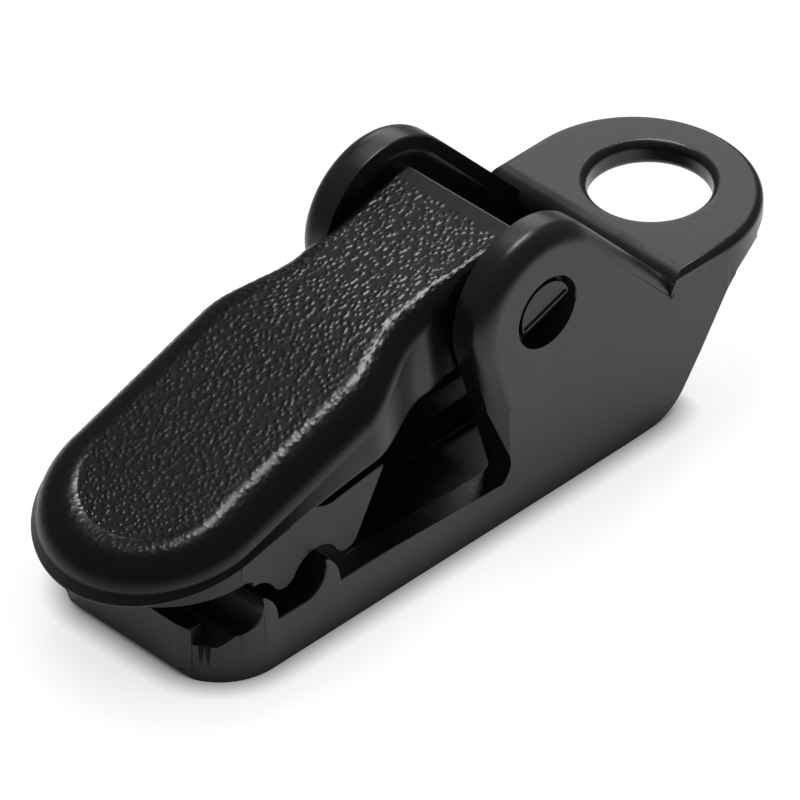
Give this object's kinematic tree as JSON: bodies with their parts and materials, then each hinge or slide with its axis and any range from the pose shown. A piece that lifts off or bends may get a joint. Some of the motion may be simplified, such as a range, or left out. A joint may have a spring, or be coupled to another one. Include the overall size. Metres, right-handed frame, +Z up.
{
  "type": "tarp clip",
  "caption": "Black plastic clip that grips the edge of a sheet between toothed jaws hinged on moulded trunnions, with a ring eye behind for a cord.",
  "frame": {"origin": "on the ground under the middle of the clip's length and width", "axes": "+X along the clip from the bill to the ring eye, +Y across the clip along the hinge axis, +Z up"},
  "size_m": [0.0912, 0.0256, 0.0319],
  "materials": {
    "body": "fine matte moulded black",
    "upper_jaw": "black with a pebbled top and satin sides"
  },
  "bodies": {
    "body": {"body": "body"},
    "upper_jaw": {"upper_jaw": "upper_jaw"}
  },
  "joints": [
    {"name": "jaw", "type": "hinge", "parent": "body", "child": "upper_jaw", "pos_m": [0.007, 0, 0.0228], "axis": [0, 1, 0], "range_deg": [0, 90]}
  ]
}
